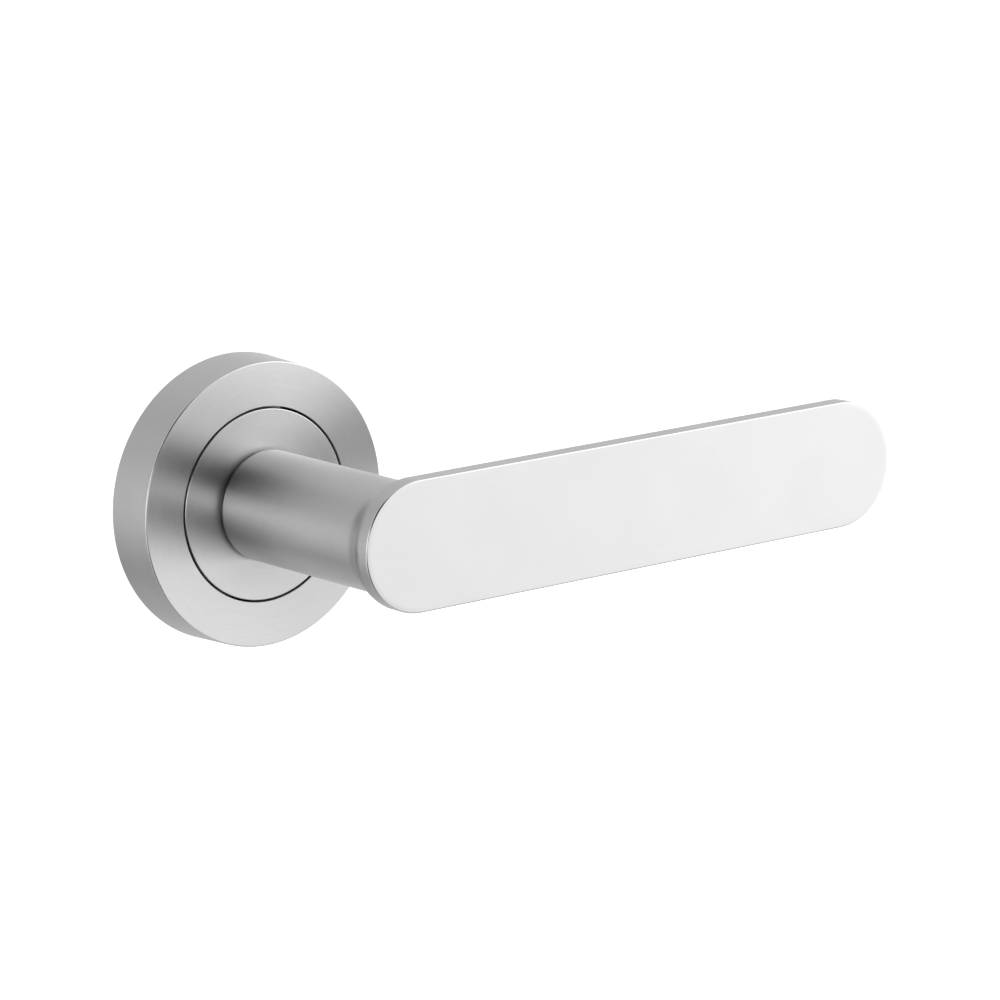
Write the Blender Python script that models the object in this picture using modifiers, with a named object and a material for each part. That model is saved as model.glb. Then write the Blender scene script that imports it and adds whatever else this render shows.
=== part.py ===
"""Door lever handle on a round rose: the sprung half that carries the female fixing posts.

The origin is the centre of the rose on the door face, on the axis that the lever turns about. The lever
points along +X, +Y goes into the door and +Z is up. Every piece hangs from the empty door_face, in which
x points along the lever, y is up and z is the depth out of the door, so a turned piece turns about z.
lever_turn is the lever's axis, and cover_pull is the line that the rose cover is drawn off along.
"""

import math

import bmesh
import bpy
from mathutils import Matrix

CLEARANCE = 0.0003  # between two pieces that touch on the real handle

# The rose: the round cover and the disc that turns inside it
ROSE_RADIUS = 0.026
ROSE_FRONT_RADIUS = 0.02563  # the rim tapers a little towards the face
ROSE_DEPTH = 0.0097
COVER_WALL = 0.0012
COVER_FACE = 0.0015
COVER_EDGE = 0.00025
COVER_BORE = 0.0176
DISC_RADIUS = 0.0172
DISC_THICKNESS = 0.0018
DISC_EDGE = 0.00025

# The lever: a round neck and a flat blade with round ends, the near one over the neck
NECK_RADIUS = 0.010
NECK_BACK = ROSE_DEPTH + 0.001  # a thin gap is left in front of the disc
BLADE_LENGTH = 0.1198
BLADE_OVERHANG = 0.00035  # the near end's centre is this far behind the axis
BLADE_HALF_HEIGHT = 0.0116
BLADE_THICKNESS = 0.0035
BLADE_FRONT = 0.0552
BLADE_EDGE = 0.0003
NECK_FILLET = 0.0022
NECK_FLARE = BLADE_HALF_HEIGHT - 0.0001  # just inside the blade's outline
NECK_END = BLADE_FRONT - 0.0018  # inside the blade
KEY_RADIUS = 0.009
DISC_BORE = KEY_RADIUS + CLEARANCE
KEY_HALF_WIDTH = 0.0082
SHANK_RADIUS = 0.008
SHANK_BACK = -0.0046
SHANK_CHAMFER = 0.0005

# The spindle and the grub screw that holds it in the neck
SPINDLE_HALF = 0.004
SPINDLE_BACK = -0.022
SPINDLE_CHAMFER = 0.0005
SOCKET_HALF = SPINDLE_HALF + CLEARANCE
SOCKET_FRONT = 0.022
GRUB_DEPTH = 0.0145
GRUB_RADIUS = 0.00225
GRUB_OUTER = 0.0097
GRUB_POINT = 0.0005
GRUB_HEX = 0.00145
GRUB_HEX_DEPTH = 0.0025

# The base plate and its hub
PLATE_RADIUS = 0.0242
PLATE_THICKNESS = 0.0024
GROOVE_RADIUS = 0.0231
GROOVE_EDGE = 0.0005
HUB_RADIUS = 0.0113
HUB_BORE = 0.0098
HUB_FRONT = 0.0056
GRIP_RADIUS = 0.0240
GRIP_WIRE = 0.0005

# The bush that the shank turns in, with a flange in front of the hub
BUSH_BORE = SHANK_RADIUS + CLEARANCE
BUSH_RADIUS = HUB_BORE - CLEARANCE
BUSH_FLANGE = 0.0005
BUSH_FRONT = HUB_FRONT + CLEARANCE + BUSH_FLANGE

# The drive plate, keyed to the shank. Its tab swings between the two stops of the spring housing
DRIVE_BACK = 0.0067
DRIVE_FRONT = 0.0074
DRIVE_RADIUS = 0.0152
TAB_TIP = 0.0182
TAB_WIDTH = 0.004
TAB_ANGLE = math.radians(135)
LEVER_TRAVEL = math.radians(45)

# The spring housing, screwed to the base plate by two ears
HOUSING_RADIUS = 0.0155
HOUSING_BORE = 0.0144
HOUSING_BACK = PLATE_THICKNESS + CLEARANCE
HOUSING_FRONT = 0.0063
EAR_RADIUS = 0.0184
EAR_WIDTH = 0.0046
EAR_BOSS = 0.0026
EAR_FRONT = 0.0037
STOP_WIDTH = 0.003
STOP_FRONT = 0.0073
STOP_RELIEF = DRIVE_RADIUS + 1.5 * CLEARANCE
STOP_TRIM = 0.0001

# The return spring: one coil round the hub, a leg through the housing and a leg into the drive plate
SPRING_RADIUS = 0.0130
SPRING_WIRE = 0.0007
SPRING_PITCH = 0.0015
SPRING_TURNS = 1.6
SPRING_BACK = 0.0033
SPRING_START = math.radians(200)
SPRING_LEAD = math.radians(6)  # the turn in which a leg runs into the coil
SPRING_LEG = 0.0168
SPRING_BEND = 0.0007
SPRING_TIP = 0.0073
SPRING_STEPS = 30

# The stack behind the base plate
WASHER_RADIUS = 0.012
WASHER_THICKNESS = 0.0007
WAVE_THICKNESS = 0.0003
WAVE_HEIGHT = 0.0002
WAVE_RADIUS = 0.0112
WAVES = 3
CIRCLIP_FRONT = -0.0022
CIRCLIP_THICKNESS = 0.001
CIRCLIP_BORE = 0.0075
CIRCLIP_RADIUS = 0.0098
CIRCLIP_GAP = math.radians(26)
CIRCLIP_LUG_ANGLE = CIRCLIP_GAP + math.radians(4)
CIRCLIP_LUG = 0.0015
CIRCLIP_HOLE = 0.0006
GROOVE_FLOOR = 0.0072
GROOVE_PLAY = 0.00015

# Fixings
POST_SPACING = 0.038
POST_RADIUS = 0.0035
POST_SPIGOT = 0.0029
POST_BACK = -0.008
POST_THREAD = 0.00165
POST_THREAD_DEPTH = 0.006
WOOD_RADIUS = 0.0188
WOOD_ANGLE = math.radians(56)
WOOD_HEAD = 0.003
WOOD_SHANK = 0.0016
WOOD_HEAD_FRONT = 0.0022
WOOD_HEAD_DEPTH = 0.0015
WOOD_TAPER = -0.0105
WOOD_POINT = -0.0138
SCREW_RADIUS = 0.00115
SCREW_HEAD = 0.0022
SCREW_HEAD_DEPTH = 0.0013
SCREW_POINT = 0.0006
RECESS_WIDTH = 0.0007
RECESS_DEPTH = 0.0009
WOOD_RECESS = 0.0036
SCREW_RECESS = 0.0028

FINE = 72  # sides of the large round pieces
MEDIUM = 48
SMALL = 24
TINY = 16
HEX = 6
BLADE_STEPS = 35  # round each end of the blade. An odd number keeps a corner off the neck's seam
ARC_STEPS = 5
MERGE = 0.000001  # points closer than this are one
SHARP = math.radians(35)
QUARTER = math.pi / 2


def clear_scene():
    for obj in list(bpy.data.objects):
        bpy.data.objects.remove(obj, do_unlink=True)


def new_collection(name):
    made = bpy.data.collections.new(name)
    bpy.context.scene.collection.children.link(made)
    return made


def new_material(name, colour, metallic, roughness):
    made = bpy.data.materials.new(name)
    made.use_nodes = True
    shader = made.node_tree.nodes["Principled BSDF"]
    shader.inputs["Base Color"].default_value = (*colour, 1)
    shader.inputs["Metallic"].default_value = metallic
    shader.inputs["Roughness"].default_value = roughness
    made.diffuse_color = (*colour, 1)
    return made


def new_empty(name, parent=None):
    made = bpy.data.objects.new(name, None)
    made.empty_display_size = ROSE_RADIUS
    made.parent = parent
    parts.objects.link(made)
    return made


def new_object(name, mesh, parent, location=(0, 0, 0), turn=0.0):
    mesh.shade_smooth()
    mesh.set_sharp_from_angle(angle=SHARP)
    made = bpy.data.objects.new(name, mesh)
    made.parent = parent
    made.location = location
    made.rotation_euler.z = turn
    parts.objects.link(made)
    return made


def finish(obj, material):
    obj.data.materials.clear()
    obj.data.materials.append(material)
    return obj


def evaluated_mesh(obj):
    """The mesh that an object and its modifiers make, with loose caps welded. The object is removed."""
    graph = bpy.context.evaluated_depsgraph_get()
    mesh = bpy.data.meshes.new_from_object(obj.evaluated_get(graph))
    bpy.data.objects.remove(obj, do_unlink=True)
    shape = bmesh.new()
    shape.from_mesh(mesh)
    bmesh.ops.remove_doubles(shape, verts=shape.verts, dist=MERGE)
    shape.to_mesh(mesh)
    shape.free()
    return mesh


def turned_mesh(profile, sides):
    """A profile of (radius, depth) points turned about z. It runs down its outer side and up its inner one."""
    count = len(profile)
    solid = profile[0][0] == 0 and profile[-1][0] == 0
    edges = [(i, (i + 1) % count) for i in range(count - solid)]
    mesh = bpy.data.meshes.new("profile")
    mesh.from_pydata([(radius, 0, depth) for radius, depth in profile], edges, [])
    obj = bpy.data.objects.new("profile", mesh)
    parts.objects.link(obj)
    screw = obj.modifiers.new("Turn", "SCREW")
    screw.steps = sides
    screw.render_steps = sides
    screw.use_merge_vertices = True
    screw.merge_threshold = MERGE
    return evaluated_mesh(obj)


def turned(name, profile, parent, sides=FINE, location=(0, 0, 0)):
    return new_object(name, turned_mesh(profile, sides), parent, location)


def arc(centre_radius, centre_depth, radius, start, end, steps=ARC_STEPS):
    """Profile points round a centre, from one angle in degrees to another."""
    angles = [math.radians(start + (end - start) * i / steps) for i in range(steps + 1)]
    return [(centre_radius + radius * math.cos(a), centre_depth + radius * math.sin(a)) for a in angles]


def drum_profile(radius, back, front):
    return [(0, front), (radius, front), (radius, back), (0, back)]


def as_tool(obj):
    parts.objects.unlink(obj)
    cutters.objects.link(obj)
    obj.hide_render = True
    obj.display_type = "WIRE"
    return obj


def drum_tool(name, radius, back, front, parent, location=(0, 0, 0), sides=SMALL):
    return as_tool(turned(name, drum_profile(radius, back, front), parent, sides, location))


def block_mesh(width, height, back, front):
    """A block centred on x and y, between two depths."""
    mesh = bpy.data.meshes.new("block")
    shape = bmesh.new()
    place = Matrix.Translation((0, 0, (back + front) / 2))
    bmesh.ops.create_cube(shape, size=1, matrix=place @ Matrix.Diagonal((width, height, front - back, 1)))
    shape.to_mesh(mesh)
    shape.free()
    return mesh


def block_tool(name, width, height, back, front, parent, location=(0, 0, 0), turn=0.0):
    return as_tool(new_object(name, block_mesh(width, height, back, front), parent, location, turn))


def apply_tool(obj, tool, operation):
    boolean = obj.modifiers.new(tool.name, "BOOLEAN")
    boolean.object = tool
    boolean.operation = operation
    boolean.solver = "EXACT"


def cut(obj, *tools):
    for tool in tools:
        apply_tool(obj, tool, "DIFFERENCE")
    return obj


def join(obj, *tools):
    for tool in tools:
        apply_tool(obj, tool, "UNION")
    return obj


def solve_as_manifold(obj):
    """For a piece on which the exact solver leaves gaps."""
    for modifier in obj.modifiers:
        modifier.solver = "MANIFOLD"


def at_angle(radius, angle, depth=0.0):
    return (radius * math.cos(angle), radius * math.sin(angle), depth)


def cross_recess(name, obj, length, front, parent, location):
    """Cuts the cross slot of a screw head."""
    for number, turn in enumerate((math.pi / 4, -math.pi / 4)):
        slot = block_tool(
            f"{name}_slot_{number}",
            length,
            RECESS_WIDTH,
            front - RECESS_DEPTH,
            front + RECESS_DEPTH,
            parent,
            location,
            turn,
        )
        cut(obj, slot)
    return obj


def blade_mesh():
    """The flat plate: an outline with round ends, extruded to its thickness."""
    steps = BLADE_STEPS
    far = BLADE_LENGTH - 2 * BLADE_HALF_HEIGHT - BLADE_OVERHANG
    ends = [(far, -QUARTER), (-BLADE_OVERHANG, QUARTER)]
    points = [
        (centre + BLADE_HALF_HEIGHT * math.cos(start + math.pi * i / steps),
         BLADE_HALF_HEIGHT * math.sin(start + math.pi * i / steps))
        for centre, start in ends
        for i in range(steps + 1)
    ]
    curve = bpy.data.curves.new("blade_outline", "CURVE")
    curve.dimensions = "2D"
    curve.fill_mode = "BOTH"
    curve.extrude = BLADE_THICKNESS / 2
    spline = curve.splines.new("POLY")
    spline.points.add(len(points) - 1)
    for point, (x, y) in zip(spline.points, points):
        point.co = (x, y, 0, 1)
    spline.use_cyclic_u = True
    outline = bpy.data.objects.new("blade_outline", curve)
    parts.objects.link(outline)
    return evaluated_mesh(outline)


def blade_tool(parent):
    blade = new_object("blade_shape", blade_mesh(), parent, (0, 0, BLADE_FRONT - BLADE_THICKNESS / 2))
    edge = blade.modifiers.new("Edge", "BEVEL")
    edge.width = BLADE_EDGE
    edge.segments = 2
    edge.limit_method = "ANGLE"
    edge.angle_limit = SHARP
    return as_tool(blade)


def neck_profile():
    """Blade end to shank end: the flare, the neck, the spigot, the shank and its circlip groove."""
    fillet_centre = NECK_RADIUS + NECK_FILLET
    fillet_depth = BLADE_FRONT - BLADE_THICKNESS - NECK_FILLET
    flare_angle = math.degrees(math.acos((NECK_FLARE - fillet_centre) / NECK_FILLET))
    groove_back = CIRCLIP_FRONT - CIRCLIP_THICKNESS - GROOVE_PLAY
    groove_front = CIRCLIP_FRONT + GROOVE_PLAY
    return [
        (0, NECK_END),
        (NECK_FLARE, NECK_END),
        *arc(fillet_centre, fillet_depth, NECK_FILLET, flare_angle, 180),
        (NECK_RADIUS, NECK_BACK),
        (KEY_RADIUS, NECK_BACK),
        (KEY_RADIUS, DRIVE_BACK),
        (SHANK_RADIUS, DRIVE_BACK),
        (SHANK_RADIUS, groove_front),
        (GROOVE_FLOOR, groove_front),
        (GROOVE_FLOOR, groove_back),
        (SHANK_RADIUS, groove_back),
        (SHANK_RADIUS, SHANK_BACK + SHANK_CHAMFER),
        (SHANK_RADIUS - SHANK_CHAMFER, SHANK_BACK),
        (0, SHANK_BACK),
    ]


def make_lever():
    lever = turned("lever", neck_profile(), lever_turn)
    join(lever, blade_tool(lever_turn))
    socket_size = 2 * SOCKET_HALF
    socket = block_tool("socket", socket_size, socket_size, SHANK_BACK - NECK_RADIUS, SOCKET_FRONT, lever_turn)
    flat_width = 2 * (KEY_RADIUS - KEY_HALF_WIDTH)
    flat_back = DRIVE_BACK - CLEARANCE
    flat_front = DRIVE_FRONT + CLEARANCE / 2
    for side in (-1, 1):
        place = (side * (KEY_HALF_WIDTH + flat_width / 2), 0, 0)
        cut(lever, block_tool(f"flat_{side}", flat_width, 2 * KEY_RADIUS, flat_back, flat_front, lever_turn, place))
    thread_radius = GRUB_RADIUS + CLEARANCE
    thread = drum_tool("grub_thread", thread_radius, 0, 2 * NECK_RADIUS, lever_turn, (0, 0, GRUB_DEPTH))
    thread.rotation_euler.x = QUARTER
    cut(lever, socket, thread)
    return finish(lever, satin_steel)


def make_collar_disc():
    back = ROSE_DEPTH - DISC_THICKNESS
    profile = [
        (DISC_BORE, ROSE_DEPTH),
        *arc(DISC_RADIUS - DISC_EDGE, ROSE_DEPTH - DISC_EDGE, DISC_EDGE, 90, 0, 3),
        (DISC_RADIUS, back),
        (DISC_BORE, back),
    ]
    return finish(turned("collar_disc", profile, lever_turn), satin_steel)


def make_drive_plate():
    plate = turned("drive_plate", drum_profile(DRIVE_RADIUS, DRIVE_BACK, DRIVE_FRONT), lever_turn)
    tab_length = TAB_TIP - HUB_RADIUS
    place = at_angle((TAB_TIP + HUB_RADIUS) / 2, TAB_ANGLE)
    tab = block_tool("drive_tab", tab_length, TAB_WIDTH, DRIVE_BACK, DRIVE_FRONT, lever_turn, place, TAB_ANGLE)
    key_front = DRIVE_FRONT + CLEARANCE
    key_back = DRIVE_BACK - CLEARANCE
    key_width = 2 * (KEY_HALF_WIDTH + CLEARANCE)
    key = drum_tool("key_hole", KEY_RADIUS + CLEARANCE, key_back, key_front, lever_turn, sides=MEDIUM)
    sides = block_tool("key_sides", key_width, 3 * KEY_RADIUS, key_back - CLEARANCE, key_front + CLEARANCE, lever_turn)
    apply_tool(key, sides, "INTERSECT")
    leg = drum_tool("leg_hole", SPRING_WIRE + CLEARANCE, key_back, key_front, lever_turn, spring_end())
    leg.location.z = 0
    join(plate, tab)
    return finish(cut(plate, key, leg), plated_steel)


def make_spindle():
    spindle = new_object(
        "spindle",
        block_mesh(2 * SPINDLE_HALF, 2 * SPINDLE_HALF, SPINDLE_BACK, SOCKET_FRONT - CLEARANCE),
        lever_turn,
    )
    edge = spindle.modifiers.new("Edge", "BEVEL")
    edge.width = SPINDLE_CHAMFER
    edge.segments = 1
    return finish(spindle, plated_steel)


def make_grub_screw():
    inner = SPINDLE_HALF + CLEARANCE
    profile = [
        (0, GRUB_OUTER),
        (GRUB_RADIUS, GRUB_OUTER),
        (GRUB_RADIUS, inner + GRUB_POINT),
        (GRUB_RADIUS - GRUB_POINT, inner),
        (0, inner),
    ]
    grub = turned("grub_screw", profile, lever_turn, SMALL, (0, 0, GRUB_DEPTH))
    grub.rotation_euler.x = QUARTER
    socket = drum_tool(
        "grub_socket", GRUB_HEX, GRUB_OUTER - GRUB_HEX_DEPTH, 2 * GRUB_OUTER, lever_turn, (0, 0, GRUB_DEPTH), HEX
    )
    socket.rotation_euler.x = QUARTER
    return finish(cut(grub, socket), dark_steel)


def make_rear_washer():
    front = -CLEARANCE
    profile = [
        (BUSH_BORE, front),
        (WASHER_RADIUS, front),
        (WASHER_RADIUS, front - WASHER_THICKNESS),
        (BUSH_BORE, front - WASHER_THICKNESS),
    ]
    return finish(turned("rear_washer", profile, lever_turn, MEDIUM), plated_steel)


def make_wave_washer():
    middle = -2 * CLEARANCE - WASHER_THICKNESS - WAVE_HEIGHT - WAVE_THICKNESS / 2
    half = WAVE_THICKNESS / 2
    profile = [(BUSH_BORE, half), (WAVE_RADIUS, half), (WAVE_RADIUS, -half), (BUSH_BORE, -half)]
    mesh = turned_mesh(profile, MEDIUM)
    for vertex in mesh.vertices:
        vertex.co.z += WAVE_HEIGHT * math.cos(WAVES * math.atan2(vertex.co.y, vertex.co.x))
    return finish(new_object("wave_washer", mesh, lever_turn, (0, 0, middle)), spring_steel)


def make_circlip():
    back = CIRCLIP_FRONT - CIRCLIP_THICKNESS
    profile = [
        (CIRCLIP_BORE, CIRCLIP_FRONT),
        (CIRCLIP_RADIUS, CIRCLIP_FRONT),
        (CIRCLIP_RADIUS, back),
        (CIRCLIP_BORE, back),
    ]
    clip = turned("circlip", profile, lever_turn, MEDIUM)
    opening_width = 2 * CIRCLIP_RADIUS * math.sin(CIRCLIP_GAP)
    place = (0, -CIRCLIP_RADIUS, 0)
    tall = CIRCLIP_THICKNESS
    opening = block_tool("clip_opening", opening_width, CIRCLIP_RADIUS, back - tall, tall, lever_turn, place)
    cut(clip, opening)
    for side in (-1, 1):
        place = at_angle(CIRCLIP_RADIUS - CIRCLIP_LUG / 3, side * CIRCLIP_LUG_ANGLE - QUARTER)
        join(clip, drum_tool(f"clip_lug_{side}", CIRCLIP_LUG, back, CIRCLIP_FRONT, lever_turn, place, TINY))
        cut(clip, drum_tool(f"clip_eye_{side}", CIRCLIP_HOLE, back - tall, tall, lever_turn, place, TINY))
    return finish(clip, spring_steel)


def post_places():
    return {"upper": POST_SPACING / 2, "lower": -POST_SPACING / 2}


def wood_places():
    return {"upper": at_angle(WOOD_RADIUS, WOOD_ANGLE), "lower": at_angle(WOOD_RADIUS, WOOD_ANGLE + math.pi)}


def make_base_plate():
    groove_front = PLATE_THICKNESS - GROOVE_EDGE
    profile = [
        (HUB_BORE, HUB_FRONT),
        (HUB_RADIUS, HUB_FRONT),
        (HUB_RADIUS, PLATE_THICKNESS),
        (PLATE_RADIUS, PLATE_THICKNESS),
        (PLATE_RADIUS, groove_front),
        (GROOVE_RADIUS, groove_front),
        (GROOVE_RADIUS, GROOVE_EDGE),
        (PLATE_RADIUS, GROOVE_EDGE),
        (PLATE_RADIUS, 0),
        (HUB_BORE, 0),
    ]
    plate = turned("base_plate", profile, door_face)
    beyond = PLATE_THICKNESS
    front = PLATE_THICKNESS + beyond
    for name, height in post_places().items():
        radius = POST_SPIGOT + CLEARANCE
        cut(plate, drum_tool(f"post_hole_{name}", radius, -beyond, front, door_face, (0, height, 0)))
    sink_back = WOOD_HEAD_FRONT - WOOD_HEAD_DEPTH
    shank = WOOD_SHANK + CLEARANCE
    head = WOOD_HEAD + CLEARANCE
    sink = [(0, front), (head, front), (head, WOOD_HEAD_FRONT), (shank, sink_back), (shank, -beyond), (0, -beyond)]
    for name, place in wood_places().items():
        cut(plate, as_tool(turned(f"wood_hole_{name}", sink, door_face, SMALL, place)))
    for name, angle in ear_angles().items():
        radius = SCREW_RADIUS + CLEARANCE
        cut(plate, drum_tool(f"tapped_hole_{name}", radius, -beyond, front, door_face, at_angle(EAR_RADIUS, angle)))
    solve_as_manifold(plate)  # some hole corners lie on the plate's own edges
    return finish(plate, plated_steel)


def make_bearing_bush():
    flange_back = BUSH_FRONT - BUSH_FLANGE
    profile = [
        (BUSH_BORE, BUSH_FRONT),
        (HUB_RADIUS, BUSH_FRONT),
        (HUB_RADIUS, flange_back),
        (BUSH_RADIUS, flange_back),
        (BUSH_RADIUS, 0),
        (BUSH_BORE, 0),
    ]
    return finish(turned("bearing_bush", profile, door_face, MEDIUM), nylon)


def ear_angles():
    return {"right": 0.0, "left": math.pi}


def stop_angles():
    """The stops stand where the tab's two ends of travel put them, a clearance away."""
    apart = (TAB_WIDTH / 2 + STOP_WIDTH / 2 + CLEARANCE) / STOP_RELIEF
    return {"rest": TAB_ANGLE + apart, "pressed": TAB_ANGLE - LEVER_TRAVEL - apart}


def make_spring_housing():
    profile = [
        (HOUSING_BORE, HOUSING_FRONT),
        (HOUSING_RADIUS, HOUSING_FRONT),
        (HOUSING_RADIUS, HOUSING_BACK),
        (HOUSING_BORE, HOUSING_BACK),
    ]
    housing = turned("spring_housing", profile, door_face)
    wall = (HOUSING_BORE + HOUSING_RADIUS) / 2
    for name, angle in ear_angles().items():
        place = at_angle((EAR_RADIUS + wall) / 2, angle)
        centre = at_angle(EAR_RADIUS, angle)
        arm = block_tool(f"ear_{name}", EAR_RADIUS - wall, EAR_WIDTH, HOUSING_BACK, EAR_FRONT, door_face, place, angle)
        boss = drum_tool(f"ear_boss_{name}", EAR_BOSS, HOUSING_BACK, EAR_FRONT, door_face, centre)
        hole = drum_tool(f"ear_hole_{name}", SCREW_RADIUS + CLEARANCE, 0, STOP_FRONT, door_face, centre)
        cut(join(housing, arm, boss), hole)
    for name, angle in stop_angles().items():
        place = at_angle((TAB_TIP + wall) / 2, angle)
        stop_size = (TAB_TIP - wall, STOP_WIDTH, HOUSING_BACK, STOP_FRONT)
        join(housing, block_tool(f"stop_{name}", *stop_size, door_face, place, angle))
    relief = drum_tool("stop_relief", STOP_RELIEF, HOUSING_FRONT - STOP_TRIM, 2 * STOP_FRONT, door_face, sides=FINE)
    slot_width = 2 * (SPRING_WIRE + CLEARANCE)
    slot_front = SPRING_BACK + SPRING_WIRE + CLEARANCE
    place = at_angle((SPRING_LEG + SPRING_RADIUS) / 2, SPRING_START)
    slot_size = (SPRING_LEG - SPRING_RADIUS, slot_width, 0, slot_front)
    slot = block_tool("leg_slot", *slot_size, door_face, place, SPRING_START)
    cut(housing, relief, slot)
    solve_as_manifold(housing)  # the ears and stops stand flush with the ring
    return finish(housing, plated_steel)


def spring_end():
    """Where the coil ends, under the hole in the drive plate."""
    angle = SPRING_START - SPRING_TURNS * 2 * math.pi
    return at_angle(SPRING_RADIUS, angle, SPRING_BACK + SPRING_TURNS * SPRING_PITCH)


def spring_path():
    """The fixed leg, the coil wound against the lever's travel, and the leg into the drive plate."""
    steps = round(SPRING_TURNS * SPRING_STEPS)
    path = [at_angle(SPRING_LEG, SPRING_START, SPRING_BACK), at_angle(HOUSING_BORE, SPRING_START, SPRING_BACK)]
    for i in range(steps + 1):
        share = i / steps
        angle = SPRING_START - SPRING_LEAD - (SPRING_TURNS * 2 * math.pi - 2 * SPRING_LEAD) * share
        path.append(at_angle(SPRING_RADIUS, angle, SPRING_BACK + SPRING_TURNS * SPRING_PITCH * share))
    x, y, depth = spring_end()
    path.append((x, y, depth + SPRING_BEND))
    path.append((x, y, SPRING_TIP))
    return path


def make_return_spring():
    curve = bpy.data.curves.new("spring_wire", "CURVE")
    curve.dimensions = "3D"
    curve.bevel_depth = SPRING_WIRE
    curve.bevel_resolution = 2
    curve.use_fill_caps = True
    points = spring_path()
    spline = curve.splines.new("POLY")
    spline.points.add(len(points) - 1)
    for point, place in zip(spline.points, points):
        point.co = (*place, 1)
    wire = bpy.data.objects.new("spring_wire", curve)
    parts.objects.link(wire)
    return finish(new_object("return_spring", evaluated_mesh(wire), door_face), spring_steel)


def make_posts():
    for name, height in post_places().items():
        front = PLATE_THICKNESS - CLEARANCE
        profile = [
            (0, front),
            (POST_SPIGOT, front),
            (POST_SPIGOT, -CLEARANCE),
            (POST_RADIUS, -CLEARANCE),
            (POST_RADIUS, POST_BACK + SHANK_CHAMFER),
            (POST_RADIUS - SHANK_CHAMFER, POST_BACK),
            (0, POST_BACK),
        ]
        post = turned(f"post_{name}", profile, door_face, SMALL, (0, height, 0))
        thread_front = POST_BACK + POST_THREAD_DEPTH
        place = (0, height, 0)
        thread = drum_tool(f"post_thread_{name}", POST_THREAD, 2 * POST_BACK, thread_front, door_face, place, TINY)
        finish(cut(post, thread), plated_steel)


def make_wood_screws():
    for name, place in wood_places().items():
        profile = [
            (0, WOOD_HEAD_FRONT),
            (WOOD_HEAD, WOOD_HEAD_FRONT),
            (WOOD_SHANK, WOOD_HEAD_FRONT - WOOD_HEAD_DEPTH),
            (WOOD_SHANK, WOOD_TAPER),
            (0, WOOD_POINT),
        ]
        screw = turned(f"wood_screw_{name}", profile, door_face, SMALL, place)
        cross_recess(f"wood_{name}", screw, WOOD_RECESS, WOOD_HEAD_FRONT, door_face, place)
        finish(screw, plated_steel)


def make_housing_screws():
    back = EAR_FRONT + CLEARANCE
    front = back + SCREW_HEAD_DEPTH
    for name, angle in ear_angles().items():
        place = at_angle(EAR_RADIUS, angle)
        profile = [
            (0, front),
            (SCREW_HEAD, front),
            (SCREW_HEAD, back),
            (SCREW_RADIUS, back),
            (SCREW_RADIUS, SCREW_POINT),
            (0, SCREW_POINT),
        ]
        screw = turned(f"housing_screw_{name}", profile, door_face, SMALL, place)
        cross_recess(f"housing_{name}", screw, SCREW_RECESS, front, door_face, place)
        finish(screw, plated_steel)


def make_grip_ring():
    depth = PLATE_THICKNESS / 2
    profile = arc(GRIP_RADIUS, depth, GRIP_WIRE, 90, -225, 7)
    return finish(turned("grip_ring", profile, door_face, MEDIUM), rubber)


def make_rose_cover():
    face_back = ROSE_DEPTH - COVER_FACE
    profile = [
        (COVER_BORE, ROSE_DEPTH),
        *arc(ROSE_FRONT_RADIUS - COVER_EDGE, ROSE_DEPTH - COVER_EDGE, COVER_EDGE, 90, 0, 4),
        (ROSE_RADIUS, 0),
        (ROSE_RADIUS - COVER_WALL, 0),
        (ROSE_FRONT_RADIUS - COVER_WALL, face_back),
        (COVER_BORE, face_back),
    ]
    return finish(turned("rose_cover", profile, cover_pull), satin_steel)


clear_scene()
parts = new_collection("door_lever_handle")
cutters = new_collection("cutters")

satin_steel = new_material("satin_stainless_steel", (0.62, 0.62, 0.63), 1.0, 0.34)
plated_steel = new_material("zinc_plated_steel", (0.60, 0.61, 0.62), 1.0, 0.42)
spring_steel = new_material("spring_steel", (0.34, 0.34, 0.36), 1.0, 0.38)
dark_steel = new_material("black_oxide_steel", (0.07, 0.07, 0.08), 0.9, 0.45)
nylon = new_material("white_nylon", (0.80, 0.79, 0.75), 0.0, 0.45)
rubber = new_material("black_rubber", (0.03, 0.03, 0.03), 0.0, 0.7)

door_face = new_empty("door_face")
door_face.rotation_euler.x = QUARTER
lever_turn = new_empty("lever_turn", door_face)
cover_pull = new_empty("cover_pull", door_face)

make_lever()
make_collar_disc()
make_drive_plate()
make_spindle()
make_grub_screw()
make_rear_washer()
make_wave_washer()
make_circlip()
make_base_plate()
make_bearing_bush()
make_spring_housing()
make_return_spring()
make_posts()
make_wood_screws()
make_housing_screws()
make_grip_ring()
make_rose_cover()
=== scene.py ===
"""Door lever handle on a round rose: finished pieces, materials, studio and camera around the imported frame.

The lever turns about the world's Y axis, the door face is the plane y = 0, and depth is measured out of
the door, along -Y. Turned pieces are profiles of (radius, depth) points swept about that axis.
"""

import math

import bmesh
import bpy
from mathutils import Matrix, Vector


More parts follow.
